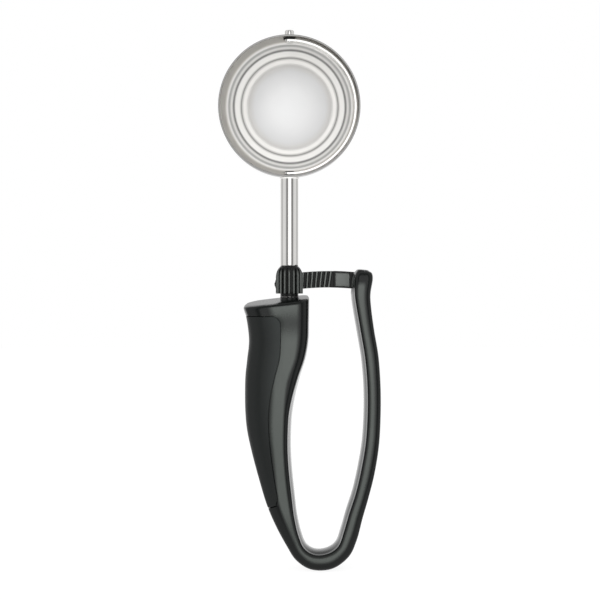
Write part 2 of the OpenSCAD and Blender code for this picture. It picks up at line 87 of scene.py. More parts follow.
def span(node, axis):
    """The low and high limit of a solid along one axis, in metres."""
    low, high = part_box(node)
    return low[axis], high[axis]


def half_span(node, axis):
    """Half of a solid's extent along one axis: the radius of a round one."""
    low, high = span(node, axis)
    return (high - low) / 2


BOWL_R = half_span("bowl", 0)
AXIS_Y = span("bowl", 1)[1] - BOWL_R
SHANK_R = half_span("shank_tube", 0)
PINION_R = half_span("pinion", 1)
HINGE = next(j for j in frame["joints"] if j["name"] == "lever_flex")["pos_m"]


# ---------------------------------------------------------------- properties
class ScoopSizes(bpy.types.PropertyGroup):
    """Sizes of the scoop's pieces"""

    bowl_radius: FloatProperty(
        name="Bowl radius", description="Outside radius of the bowl", default=BOWL_R, unit="LENGTH"
    )
    bowl_wall: FloatProperty(
        name="Bowl wall", description="Thickness of the bowl's sheet", default=0.9 * MM, unit="LENGTH"
    )
    rim_band: FloatProperty(
        name="Rim band",
        description="Straight band between the rim and the shank's axis",
        default=AXIS_Y,
        unit="LENGTH",
    )
    blade_width: FloatProperty(
        name="Blade width", description="Width of the blade half way along", default=8 * MM, unit="LENGTH"
    )
    blade_end_width: FloatProperty(
        name="Blade end width", description="Width of the blade at its pivots", default=5 * MM, unit="LENGTH"
    )
    blade_thickness: FloatProperty(
        name="Blade thickness", description="Thickness of the blade's strip", default=1.2 * MM, unit="LENGTH"
    )
    shank_radius: FloatProperty(
        name="Shank radius", description="Outside radius of the shank", default=SHANK_R, unit="LENGTH"
    )
    pinion_tip_radius: FloatProperty(
        name="Pinion radius", description="Radius over the pinion's teeth", default=PINION_R, unit="LENGTH"
    )
    rack_height: FloatProperty(
        name="Rack height", description="Height of the arched rack", default=8.4 * MM, unit="LENGTH"
    )
    pad_thickness: FloatProperty(
        name="Pad thickness", description="Thickness of the soft pad", default=1.8 * MM, unit="LENGTH"
    )
    seam_width: FloatProperty(
        name="Seam width", description="Width of the groove round the pad", default=0.3 * MM, unit="LENGTH"
    )


class ScoopColours(bpy.types.PropertyGroup):
    """Colours of the scoop's finishes"""

    bowl_steel: FloatVectorProperty(
        name="Bowl steel", description="Tint of the bowl's steel", default=(0.86, 0.85, 0.83), subtype="COLOR"
    )
    blade_steel: FloatVectorProperty(
        name="Blade steel", description="Tint of the blade's steel", default=(0.9, 0.89, 0.87), subtype="COLOR"
    )
    shank_steel: FloatVectorProperty(
        name="Shank steel", description="Tint of the shank's steel", default=(0.84, 0.83, 0.81), subtype="COLOR"
    )
    grip: FloatVectorProperty(
        name="Grip plastic", description="Colour of the loop", default=(0.0045, 0.0055, 0.0052), subtype="COLOR"
    )
    # Painted light: the loop's flat faces are painted this greyer colour, and its corners, top, head and hollows stay
    # darker as painted shade.
    grip_lit_face: FloatVectorProperty(
        name="Grip faces", description="Grained faces of the loop", default=(0.076, 0.084, 0.078), subtype="COLOR"
    )
    pad: FloatVectorProperty(
        name="Grip pad", description="Colour of the soft pad", default=(0.007, 0.0086, 0.0082), subtype="COLOR"
    )
    # Painted light: the pad is painted this lighter colour where it turns to the front, and stays darker towards its
    # outer edge.
    pad_lit_front: FloatVectorProperty(
        name="Pad front", description="Pad where it turns to the front", default=(0.028, 0.032, 0.031), subtype="COLOR"
    )
    drive: FloatVectorProperty(
        name="Pinion plastic", description="Colour of the pinion", default=(0.003, 0.0034, 0.0032), subtype="COLOR"
    )
    # Painted light: the ribs' tips and the rack's panel are painted this lighter colour, and the grooves keep the dark
    # colour as painted shade.
    drive_painted_tips: FloatVectorProperty(
        name="Pinion tips", description="Rubbed tips of the ribs", default=(0.142, 0.152, 0.144), subtype="COLOR"
    )
    nylon: FloatVectorProperty(
        name="Bearing nylon", description="Colour of the shank's bearings", default=(0.78, 0.76, 0.7), subtype="COLOR"
    )


# ---------------------------------------------------------------- mesh making
def join_rings(rings, closed_run=False):
    """Vertices and faces of a skin over rings, an array (ring, point, xyz). Each
    ring is a closed line. The run of rings is closed too, or gets two flat ends."""
    n, m = rings.shape[:2]
    rows = n if closed_run else n - 1
    i, k = np.meshgrid(np.arange(rows), np.arange(m), indexing="ij")
    i2, k2 = (i + 1) % n, (k + 1) % m
    quads = np.stack([i * m + k, i2 * m + k, i2 * m + k2, i * m + k2], axis=-1).reshape(-1, 4)
    faces = quads.tolist()
    if not closed_run:
        faces.append(list(range(m)))
        faces.append(list(range(n * m - 1, (n - 1) * m - 1, -1)))
    return rings.reshape(-1, 3), faces


def add_piece(name, skin, material, crease=35.0, painted_light=None):
    """One object from vertices in metres and faces. Normals point outwards, faces are smooth, and edges sharper than
    crease degrees stay sharp. The painted-light shares hold three numbers for each vertex, which say how far it lies
    on a flat face or a rib's tip, where its colour is painted lighter as painted light."""
    points, faces = skin
    mesh = bpy.data.meshes.new(name)
    mesh.from_pydata(points.tolist(), [], faces)
    if painted_light is not None:
        layer = mesh.attributes.new("painted_light", "FLOAT_VECTOR", "POINT")
        layer.data.foreach_set("vector", painted_light.astype(np.float32).ravel())
    work = bmesh.new()
    work.from_mesh(mesh)
    bmesh.ops.recalc_face_normals(work, faces=work.faces)
    work.to_mesh(mesh)
    work.free()
    mesh.polygons.foreach_set("use_smooth", np.ones(len(mesh.polygons), bool))
    mesh.set_sharp_from_angle(angle=math.radians(crease))
    mesh.materials.append(material)
    mesh.update()
    piece = bpy.data.objects.new(name, mesh)
    bpy.context.scene.collection.objects.link(piece)
    return piece


def lathe(profile, steps, along_y=False, closed_run=False):
    """Turns a profile of (radius, height) about the shank's axis, or about the
    bowl's own axis along Y. Point = radius * (cos a, sin a) at the height."""
    profile = np.asarray(profile, float)
    a = np.linspace(0, 2 * math.pi, steps, endpoint=False)
    r = np.maximum(profile[:, :1], 1e-6)
    h = np.repeat(profile[:, 1:], steps, axis=1)
    if along_y:
        rings = np.stack([r * np.cos(a), AXIS_Y + h, r * np.sin(a)], axis=-1)
    else:
        rings = np.stack([r * np.cos(a), AXIS_Y + r * np.sin(a), h], axis=-1)
    return join_rings(rings, closed_run)


def arc(centre, radius, start, end, steps):
    """Points on a circle, from one angle to another in degrees."""
    a = np.radians(np.linspace(start, end, steps))
    return np.stack([centre[0] + radius * np.cos(a), centre[1] + radius * np.sin(a)], axis=-1)


# ---------------------------------------------------------------- materials
def empty_tree(owner, output):
    """The cleared node tree of a material or a world, and its new output node."""
    owner.use_nodes = True
    tree = owner.node_tree
    tree.nodes.clear()
    return tree, tree.nodes.new(output)


def new_material(name):
    """A material with a Principled shader on its output."""
    material = bpy.data.materials.new(name)
    tree, out = empty_tree(material, "ShaderNodeOutputMaterial")
    shader = tree.nodes.new("ShaderNodeBsdfPrincipled")
    tree.links.new(shader.outputs["BSDF"], out.inputs["Surface"])
    return material, tree, shader


def socket_math(tree, operation, *values):
    """The result of one Math node; each value is a number or a socket."""
    node = tree.nodes.new("ShaderNodeMath")
    node.operation = operation
    for slot, value in zip(node.inputs, values):
        if isinstance(value, (int, float)):
            slot.default_value = value
        else:
            tree.links.new(value, slot)
    return node.outputs[0]


def vector_math(tree, operation, source, other=(0, 0, 0)):
    """One Vector Math node on a socket, with a fixed second vector."""
    node = tree.nodes.new("ShaderNodeVectorMath")
    node.operation = operation
    tree.links.new(source, node.inputs[0])
    node.inputs[1].default_value = other
    return node


def split_axes(tree, source):
    """The X, Y and Z outputs of a vector socket."""
    node = tree.nodes.new("ShaderNodeSeparateXYZ")
    tree.links.new(source, node.inputs[0])
    return node.outputs


def object_noise(tree, stretch, scale, detail, rough=0.5):
    """Noise on the object's own coordinates, stretched along its axes."""
    place = tree.nodes.new("ShaderNodeTexCoord")
    mapping = tree.nodes.new("ShaderNodeMapping")
    mapping.inputs["Scale"].default_value = stretch
    noise = tree.nodes.new("ShaderNodeTexNoise")
    noise.inputs["Scale"].default_value = scale
    noise.inputs["Detail"].default_value = detail
    noise.inputs["Roughness"].default_value = rough
    tree.links.new(place.outputs["Object"], mapping.inputs["Vector"])
    tree.links.new(mapping.outputs["Vector"], noise.inputs["Vector"])
    return noise


def ramp(tree, source, stops, full=1):
    """The output of a colour ramp on a socket. Each stop is (place, value or
    colour), and full is the place that stands at the ramp's end."""
    node = tree.nodes.new("ShaderNodeValToRGB")
    elements = node.color_ramp.elements
    while len(elements) < len(stops):
        elements.new(0.5)
    for element, (place, value) in zip(elements, stops):
        element.position = place / full
        colour = (value, value, value) if isinstance(value, (int, float)) else value
        element.color = (*colour, 1.0)
    tree.links.new(source, node.inputs["Fac"])
    return node.outputs["Color"]


def add_bump(tree, shader, height, strength, distance):
    """Bump on a shader's normal, from a height between 0 and 1."""
    bump = tree.nodes.new("ShaderNodeBump")
    bump.inputs["Strength"].default_value = strength
    bump.inputs["Distance"].default_value = distance
    tree.links.new(height, bump.inputs["Height"])
    tree.links.new(bump.outputs["Normal"], shader.inputs["Normal"])


def shade(colour, factor, tint=(1, 1, 1)):
    """A colour made lighter or darker by a factor, and warmer or cooler by a tint."""
    return tuple(c * factor * t for c, t in zip(colour, tint))


def steel(name, colour, rough_low, rough_high, stretch, scratch=0.02, metallic=1.0):
    """Stainless steel with uneven gloss and faint buffing lines, which run along
    the axes where stretch is small. A metallic below 1 makes it duller."""
    material, tree, shader = new_material(name)
    shader.inputs["Metallic"].default_value = metallic
    cloud = object_noise(tree, (1, 1, 1), 60, 2)
    tone = ramp(tree, cloud.outputs["Fac"], [(0.3, shade(colour, 0.96)), (0.7, colour)])
    tree.links.new(tone, shader.inputs["Base Color"])
    lines = object_noise(tree, stretch, 900, 3, 0.6)
    gloss = ramp(tree, lines.outputs["Fac"], [(0.3, rough_low), (0.75, rough_high)])
    tree.links.new(gloss, shader.inputs["Roughness"])
    add_bump(tree, shader, lines.outputs["Fac"], scratch, 0.02 * MM)
    return material


# The bowl's zones, as (millimetres below the rim, value). The tones and tints are painted reflections and painted
# shade: a dark band below the rim, a bright belt with fine dark rings, and a pale middle. BOWL_DEPTH is the end of
# each ramp, and RING_AXIS the direction in which the zones' depth is measured, tilted 8 degrees up from the bowl's
# axis so that the painted rings look concentric from the front.
BOWL_DEPTH = 40
RING_AXIS = (0, 0.99, 0.139)
BAND_PAINTED_SHADE = [(0, 0.74), (0.4, 0.6), (12, 0.55), (15, 0.58), (16.4, 0.8)]
BELT_PAINTED_REFLECTIONS = [
    (17.8, 1.12), (18.6, 1.1), (19.6, 0.56), (20.4, 0.53), (22, 1.02), (22.8, 0.86), (23.4, 0.3), (24.1, 0.3),
    (25.1, 1.15), (27.4, 1.15), (28.1, 0.66), (28.5, 0.28), (29, 0.7), (29.8, 1.15), (30.8, 1.15), (31.7, 0.76),
    (32.4, 0.8),
]
MIDDLE_PAINTED_REFLECTION = [(34, 0.88), (38, 0.98)]
BAND_REFLECTION_TINT, MIDDLE_REFLECTION_TINT = (1.01, 0.985, 0.94), (0.985, 1.0, 1.03)
METALLIC = [(0, 1.0), (16, 0.9), (17.6, 0.4), (19.8, 0.7), (22.2, 0.4), (23.8, 0.4), (25, 0.2)]
ROUGHNESS = [(0, 0.4), (15, 0.38), (17, 0.32), (23.5, 0.3), (25, 0.1), (30.8, 0.1), (32.5, 0.55), (40, 0.6)]


def steel_with_painted_rings(name, colour):
    """The bowl's steel, spun and polished: the rim band is brushed, the middle is a matt satin, and a polished belt
    lies between them. Their tones are painted reflections and painted shade: the band darker, the belt bright with
    fine dark rings at its edges, and the middle pale. The rim's edge is darkened as painted shade. Zones follow the
    depth below the rim, and only on the inside: outside the middle of the wall the ramps are read at their start."""
    sizes = bpy.context.scene.scoop_sizes
    material, tree, shader = new_material(name)
    place = tree.nodes.new("ShaderNodeTexCoord").outputs["Object"]
    along = vector_math(tree, "DOT_PRODUCT", place, RING_AXIS)
    depth = socket_math(tree, "DIVIDE", along.outputs["Value"], BOWL_DEPTH * MM)
    radius = vector_math(tree, "DISTANCE", place, (0, AXIS_Y, 0))
    mid_wall = sizes.bowl_radius - sizes.bowl_wall / 2
    outside = socket_math(tree, "GREATER_THAN", radius.outputs["Value"], mid_wall)
    where = socket_math(tree, "SUBTRACT", depth, socket_math(tree, "MULTIPLY", outside, 2.0))

    # The zones' tones are painted reflections and painted shade: a darker, warmer rim band, a bright belt with fine
    # dark rings, and a pale, cooler middle.
    painted_tones = [(d, shade(colour, f, BAND_REFLECTION_TINT if d > 0 else (1, 1, 1))) for d, f in BAND_PAINTED_SHADE]
    painted_tones += [(d, shade(colour, f)) for d, f in BELT_PAINTED_REFLECTIONS]
    painted_tones += [(d, shade(colour, f, MIDDLE_REFLECTION_TINT)) for d, f in MIDDLE_PAINTED_REFLECTION]
    painted_shading = vector_math(tree, "SCALE", ramp(tree, where, painted_tones, BOWL_DEPTH))
    # Painted shade at the rim's edge: darkened to 0.65 up to 0.3 mm below the rim plane, rising to full at 1.2 mm.
    rim_edge_shade = tree.nodes.new("ShaderNodeMapRange")
    rim_edge_shade.inputs["From Min"].default_value = 0.3 * MM
    rim_edge_shade.inputs["From Max"].default_value = 1.2 * MM
    rim_edge_shade.inputs["To Min"].default_value = 0.65
    tree.links.new(split_axes(tree, place)["Y"], rim_edge_shade.inputs["Value"])
    tree.links.new(rim_edge_shade.outputs["Result"], painted_shading.inputs["Scale"])
    tree.links.new(painted_shading.outputs["Vector"], shader.inputs["Base Color"])
    tree.links.new(ramp(tree, where, METALLIC, BOWL_DEPTH), shader.inputs["Metallic"])

    lines = object_noise(tree, (0.02, 1, 0.02), 2600, 2, 0.6)
    satin = socket_math(tree, "MULTIPLY_ADD", lines.outputs["Fac"], 0.06, -0.03)
    gloss = socket_math(tree, "ADD", ramp(tree, where, ROUGHNESS, BOWL_DEPTH), satin)
    polished = socket_math(tree, "MULTIPLY_ADD", lines.outputs["Fac"], 0.06, 0.06)
    mix = tree.nodes.new("ShaderNodeMix")
    tree.links.new(outside, mix.inputs["Factor"])
    tree.links.new(gloss, mix.inputs["A"])
    tree.links.new(polished, mix.inputs["B"])
    tree.links.new(mix.outputs["Result"], shader.inputs["Roughness"])
    add_bump(tree, shader, lines.outputs["Fac"], 0.03, 0.01 * MM)
    return material


def plastic(name, colour, face, rough, grain, grain_height, specular):
    """Moulded plastic: spark-eroded grain and cloudy gloss. By the painted-light shares, flat faces and the tips of
    ribs are painted greyer as painted light, and corners and grooves stay darker as painted shade."""
    material, tree, shader = new_material(name)
    shader.inputs["Specular IOR Level"].default_value = specular
    cloud = object_noise(tree, (1, 1, 1), 45, 3)
    share = socket_math(tree, "MULTIPLY_ADD", cloud.outputs["Fac"], 0.3, 0.85)
    painted_light = tree.nodes.new("ShaderNodeAttribute")
    painted_light.attribute_name = "painted_light"
    for axis in split_axes(tree, painted_light.outputs["Vector"]):
        smooth = tree.nodes.new("ShaderNodeMapRange")
        smooth.interpolation_type = "SMOOTHSTEP"
        tree.links.new(axis, smooth.inputs["Value"])
        share = socket_math(tree, "MULTIPLY", share, smooth.outputs["Result"])
    # The share blends the dark colour, painted shade, into the face colour, painted light; it also makes the
    # painted-lit faces a little rougher.
    tree.links.new(ramp(tree, share, [(0, colour), (1, face)]), shader.inputs["Base Color"])
    fine = object_noise(tree, (1, 1, 1), grain, 2, 0.6)
    gloss = socket_math(tree, "MULTIPLY_ADD", fine.outputs["Fac"], 0.16, rough)
    gloss = socket_math(tree, "MULTIPLY_ADD", share, 0.12, gloss)
    tree.links.new(gloss, shader.inputs["Roughness"])
    add_bump(tree, shader, fine.outputs["Fac"], 0.5, grain_height)
    return material


def finish(key):
    """The material of one kind, made once."""
    found = bpy.data.materials.get(key)
    if found:
        return found
    tints = bpy.context.scene.scoop_colours
    kinds = {
        "polished bowl steel": (steel_with_painted_rings, tints.bowl_steel),
        "bright blade steel": (steel, tints.blade_steel, 0.08, 0.16, (1, 1, 0.1)),
        "drawn shank steel": (steel, tints.shank_steel, 0.07, 0.14, (1, 1, 0.02)),
        "turned rivet steel": (steel, tints.shank_steel, 0.12, 0.22, (0.05, 0.05, 1)),
        "satin braze metal": (steel, shade(tints.shank_steel, 1.12), 0.32, 0.45, (1, 1, 1), 0.05, 0.3),
        # The rivet washer's steel is darkened to 0.16 as painted shade, for the gap between the blade's end and the
        # bowl.
        "blackened washer steel": (steel, shade(tints.shank_steel, 0.16), 0.3, 0.45, (0.05, 0.05, 1)),
        "grained grip plastic": (plastic, tints.grip, tints.grip_lit_face, 0.12, 1400, 0.012 * MM, 0.28),
        "soft pad rubber": (plastic, tints.pad, tints.pad_lit_front, 0.38, 1800, 0.015 * MM, 0.3),
        "satin pinion plastic": (plastic, tints.drive, tints.drive_painted_tips, 0.14, 1600, 0.008 * MM, 0.25),
        "black washer nylon": (plastic, tints.drive, tints.drive, 0.36, 1600, 0.01 * MM, 0.4),
        "bearing nylon": (plastic, tints.nylon, tints.nylon, 0.36, 1200, 0.01 * MM, 0.5),
    }
    make, *values = kinds[key]
    return make(key, *values)


# ---------------------------------------------------------------- bowl
def bowl_profile(sizes):
    """(radius, depth) from the inside pole over the rim to the outside pole: a
    quarter circle and a straight band on each side, joined at the rim by half an
    ellipse, as wide as the wall and flattened along the depth."""
    outer, inner, band = sizes.bowl_radius, sizes.bowl_radius - sizes.bowl_wall, sizes.rim_band
    nose, flatness = sizes.bowl_wall / 2, 0.6
    inside = arc((0, 0), inner, 90, 0, 90)
    rim = arc((inner + nose, nose), nose, 180, 360, 13) * (1, flatness) - (0, band)
    outside = arc((0, 0), outer, 0, 90, 90)
    inner_band = np.stack([np.full(7, inner), np.linspace(0, rim[0, 1], 9)[1:-1]], axis=-1)
    outer_band = np.stack([np.full(7, outer), np.linspace(rim[-1, 1], 0, 9)[1:-1]], axis=-1)
    return np.concatenate([inside, inner_band, rim, outer_band, outside])


class SCOOP_OT_bowl(bpy.types.Operator):
    """Build the hemispherical bowl with its straight rim band"""

    bl_idname = "scoop.bowl"
    bl_label = "Bowl"

    def execute(self, context):
        sizes = context.scene.scoop_sizes
        shell = lathe(bowl_profile(sizes), 256, along_y=True)
        bowl = add_piece("bowl_shell", shell, finish("polished bowl steel"))
        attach(bowl, "handle")
        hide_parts("bowl")
        return {"FINISHED"}


# ---------------------------------------------------------------- blade
def blade_rings(sizes):
    """The strip as rings along its arc, on spheres about the bowl's centre. At
    angle t from the top pivot and y across the strip the point is (s sin t, y,
    s cos t), with s = sqrt(radius^2 - y^2), and flat at both pivots. The edges are
    circle arcs, and beyond a pivot the half width is (end^4 - reach^4)^(1/4)."""
    bottom, top = span("sweep_blade", 2)
    flat, middle = (top - bottom) / 2, (top + bottom) / 2
    half_end, half_mid = sizes.blade_end_width / 2, sizes.blade_width / 2
    outer = math.hypot(flat, half_end)
    inner = outer - sizes.blade_thickness
    lens = (outer**2 + (half_mid - half_end) ** 2) / (2 * (half_mid - half_end))
    tip = math.asin(half_end / outer)
    t = np.concatenate(
        [
            np.linspace(-tip, tip, 25),
            np.linspace(tip, math.pi - tip, 129)[1:-1],
            np.linspace(math.pi - tip, math.pi + tip, 25),
        ]
    )
    height = outer * np.cos(t)
    width = np.sqrt(lens**2 - height**2) - lens + half_mid
    reach = outer * np.abs(np.sin(t))
    beyond = (t < 0) | (t > math.pi)
    round_end = np.maximum(half_end**4 - np.minimum(reach, half_end) ** 4, 1e-20) ** 0.25
    width = np.where(beyond, round_end, width)
    bevel = 0.15 * MM
    # the corners of one section: (radius, side, how far in from the edge)
    section = [
        (outer, -1, bevel), (outer, 1, bevel), (outer - bevel, 1, 0), (inner + bevel, 1, 0),
        (inner, 1, bevel), (inner, -1, bevel), (inner + bevel, -1, 0), (outer - bevel, -1, 0),
    ]
    lines = []
    for radius, side, cut in section:
        y = side * np.maximum(width - cut, 1e-5)
        swing = np.sqrt(radius**2 - y**2)
        z = np.clip(swing * np.cos(t), -flat, flat)
        lines.append(np.stack([swing * np.sin(t), AXIS_Y + y, z + middle], axis=-1))
    return np.stack(lines, axis=1)


def rivet_profile(sizes):
    """(radius, height) of the top pivot: a thin head under the blade, a shaft
    through the blade and the bowl, and a stub with a domed edge on top."""
    low, high = span("top_pivot_rivet", 2)
    low += 0.3 * MM  # the head is this much thinner than the solid's
    wall = sizes.bowl_radius + 0.05 * MM
    head_r, head_h, shaft_r, stub_r = 2.0 * MM, 0.3 * MM, 1.5 * MM, half_span("top_pivot_rivet", 0)
    head_round, foot_round, top_round = 0.2 * MM, 0.15 * MM, 0.6 * MM
    return np.concatenate(
        [
            [(0, low)],
            arc((head_r - head_round, low + head_round), head_round, 270, 360, 5),
            [(head_r, low + head_h), (shaft_r, low + head_h), (shaft_r, wall), (stub_r - foot_round, wall)],
            arc((stub_r - foot_round, wall + foot_round), foot_round, 270, 360, 4),
            arc((stub_r - top_round, high - top_round), top_round, 0, 90, 8),
            [(0, high)],
        ]
    )


class SCOOP_OT_blade(bpy.types.Operator):
    """Build the sweep blade and the rivet at its top"""

    bl_idname = "scoop.blade"
    bl_label = "Sweep blade"

    def execute(self, context):
        sizes = context.scene.scoop_sizes
        strip = join_rings(blade_rings(sizes))
        blade = add_piece("blade_strip", strip, finish("bright blade steel"))
        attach(blade, "sweep")
        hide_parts("sweep_blade")
        pivot = lathe(rivet_profile(sizes), 64)
        rivet = add_piece("pivot_rivet", pivot, finish("turned rivet steel"))
        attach(rivet, "sweep")
        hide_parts("top_pivot_rivet")
        return {"FINISHED"}


# ---------------------------------------------------------------- shank
def shank_profile(sizes, top):
    """(radius, height) of the tube: a bore, a swaged end that carries the pinion,
    a rounded shoulder above the pinion, and a straight tube up to the collar."""
    bottom, step = span("shank_tube", 2)[0], span("pinion", 2)[1] + 0.05 * MM
    r, swage, bore, shoulder = sizes.shank_radius, 3.7 * MM, 2.55 * MM, 0.3 * MM
    return np.concatenate(
        [
            [(bore, bottom), (swage, bottom), (swage, step), (r - shoulder, step)],
            arc((r - shoulder, step + shoulder), shoulder, 270, 360, 6),
            [(r, z) for z in np.linspace(step, top, 24)[1:-1]],
            [(r, top), (bore, top)],
        ]
    )


def braze_rings(sizes, low):
    """Rings of the brazed collar, a low bulge round the tube. Its top follows the
    bowl, z = -sqrt(R^2 - x^2 - y^2) behind the shank's axis and in front of it
    z = -sqrt(R^2 - x^2), the rim's straight band."""
    r, bulge, sunk = sizes.shank_radius, 0.12 * MM, 0.5 * MM
    a = np.linspace(0, 2 * math.pi, 128, endpoint=False)
    rows = []
    for radius, lift in ((r - sunk, 0), (r, 0), (r + bulge, 0.25), (r + bulge, 0.6), (r, 1), (r - sunk, 1)):
        x, y = radius * np.cos(a), radius * np.sin(a)
        dome = -np.sqrt(sizes.bowl_radius**2 - x**2 - np.maximum(y, 0) ** 2) + 0.1 * MM
        rows.append(np.stack([x, AXIS_Y + y, low + (dome - low) * lift], axis=-1))
    return np.stack(rows)


class SCOOP_OT_shank(bpy.types.Operator):
    """Build the shank tube and its brazed collar"""

    bl_idname = "scoop.shank"
    bl_label = "Shank"

    def execute(self, context):
        sizes = context.scene.scoop_sizes
        top = span("shank_collar", 2)[0]
        skin = lathe(shank_profile(sizes, top), 128, closed_run=True)
        tube = add_piece("shank", skin, finish("drawn shank steel"))
        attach(tube, "handle")
        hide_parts("shank_tube")
        skin = join_rings(braze_rings(sizes, top), closed_run=True)
        ring = add_piece("braze_ring", skin, finish("satin braze metal"))
        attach(ring, "handle")
        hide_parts("shank_collar")
        return {"FINISHED"}


# ---------------------------------------------------------------- pinion
TEETH = 17
PITCH_R = 6.06 * MM
MODULE = 2 * PITCH_R / TEETH
DEDENDUM = 1.25 * MODULE
ROOT_R = PITCH_R - DEDENDUM
PRESSURE_ANGLE = math.radians(20)
BACKLASH = 0.1 * MM


def tooth_outline():
    """Angle and radius round the pinion: involute teeth with rounded tips. At a
    radius the half tooth is pi/2n + inv(pitch) - inv(radius), where inv = tan a - a
    and cos a = base / radius."""
    base = PITCH_R * math.cos(PRESSURE_ANGLE)
    radii = np.array([ROOT_R, ROOT_R + 0.03 * MM, base, (base + PITCH_R) / 2, PITCH_R, PITCH_R + 0.35 * MODULE])
    radii = np.append(radii, [PITCH_R + 0.75 * MODULE, PITCH_R + 0.93 * MODULE, PITCH_R + MODULE])

    def roll(r):
        a = np.arccos(np.minimum(1, base / r))
        return np.tan(a) - a

    half = math.pi / 2 / TEETH + roll(PITCH_R) - roll(np.maximum(radii, base)) - BACKLASH / PITCH_R / 2
    half[0] += 0.35 * (math.pi / TEETH - half[0])
    half[-2:] *= (0.8, 0.45)
    one_r = np.concatenate([radii, radii[::-1]])
    one_a = np.concatenate([-half, half[::-1]])
    centres = math.pi / 2 + (np.arange(TEETH) + 0.5) * 2 * math.pi / TEETH
    return (centres[:, None] + one_a[None, :]).ravel(), np.tile(one_r, TEETH)


def pinion_rings(sizes):
    """Rings of the pinion and their painted-light shares, by which the teeth's outer parts are painted lighter as
    painted light and the flutes and the hub stay dark as painted shade: a round hub, then the toothed outline under a
    dome. At the height h over the dome's foot the radius is at most tip - R + sqrt(R^2 - h^2)."""
    low, high = span("pinion", 2)
    angle, outline = tooth_outline()
    hub_top, bore, hub = low + 1.5 * MM, 3.75 * MM, 4.5 * MM
    dome_r, dome_h = 7.3 * MM, 5.5 * MM
    round_row = np.ones_like(outline)
    rows = [(round_row * bore, low), (round_row * (hub - 0.2 * MM), low)]
    rows += [(round_row * hub, low + 0.2 * MM), (round_row * hub, hub_top)]
    for inset, rise in ((0.25 * MM, 0), (0.07 * MM, 0.07 * MM), (0, 0.25 * MM)):
        rows.append((outline - inset, hub_top + rise))
    rows += [(outline, z) for z in np.linspace(hub_top + 1.5 * MM, high - dome_h, 8)]
    for turn in np.linspace(0, math.pi / 2, 25)[1:]:
        h = dome_h * math.sin(turn)
        cap = sizes.pinion_tip_radius - dome_r + math.sqrt(dome_r**2 - h**2)
        rows.append((np.minimum(outline, cap), high - dome_h + h))
    rows.append((round_row * bore, high))
    radius, height = np.stack([r for r, z in rows]), np.array([[z] for r, z in rows])
    height = np.broadcast_to(height, radius.shape)
    rings = np.stack([radius * np.cos(angle), AXIS_Y + radius * np.sin(angle), height], axis=-1)
    # Painted light towards the teeth's tips, painted shade in the flutes and on the hub; the whole pinion gets 0.6 of
    # the share.
    painted_tips = (radius - ROOT_R - 0.5 * MM) / (1.1 * MM)
    return rings, np.stack([painted_tips, np.ones_like(painted_tips), np.full_like(painted_tips, 0.6)], axis=-1)


class SCOOP_OT_pinion(bpy.types.Operator):
    """Build the fluted pinion with its domed top and its hub"""

    bl_idname = "scoop.pinion"
    bl_label = "Pinion"

    def execute(self, context):
        rings, painted_light = pinion_rings(context.scene.scoop_sizes)
        skin = join_rings(rings, closed_run=True)
        pinion = add_piece("fluted_pinion", skin, finish("satin pinion plastic"), 40, painted_light)
        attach(pinion, "sweep")
        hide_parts("pinion")
        return {"FINISHED"}


# ---------------------------------------------------------------- rack
RATIO = 22.5
TOOTH_STEP = 2 * math.pi / TEETH / RATIO
RACK_Z = -87.3 * MM
# places along the rack are counted in teeth from the pinion
RACK_END, FIRST_TOOTH, LAST_TOOTH, PANEL = -1.5, -1, 9, 9.5


def rack_stations(half, front, root, rail, pitch):
    """(place, half height, front face, pocket floor) along the rack: a round end,
    the teeth with their rounded tips, and a framed panel on the lever's head."""
    stations = []
    for turn in np.linspace(0, 0.98, 9):
        inset = half * (1 - turn)
        stations.append((RACK_END - inset / pitch, math.sqrt(half**2 - inset**2) + 1e-5, root, root))
    tip_half, foot_half, flank_depth = 0.2 * MM, 0.46 * MM, 0.891 * MM
    tip, foot = tip_half / pitch, (foot_half + flank_depth * math.tan(PRESSURE_ANGLE)) / pitch
    flank = [(foot, root), (tip + 0.02, front + 0.12 * MM), (tip, front)]
    tooth = [(-place, depth) for place, depth in flank] + flank[::-1]
    for k in range(FIRST_TOOTH, LAST_TOOTH + 1):
        stations += [(k + place, half - 0.05 * MM, depth, depth) for place, depth in tooth]
    # the panel: its first post, its pocket between two rails, and the lever's post
    lever = 10.14 + 7.2 * MM / pitch
    stations += [(9.85, half, root, root), (9.9, half, rail + 0.1 * MM, rail + 0.1 * MM), (9.95, half, rail, rail)]
    stations += [(10.26, half, rail, rail), (10.3, half, rail, root)]
    stations += [(p, half, rail, root) for p in np.linspace(10.3, lever - 0.05, 8)[1:]]
    return stations + [(lever, half, rail, rail), (lever + 1.3, half, rail, rail)]


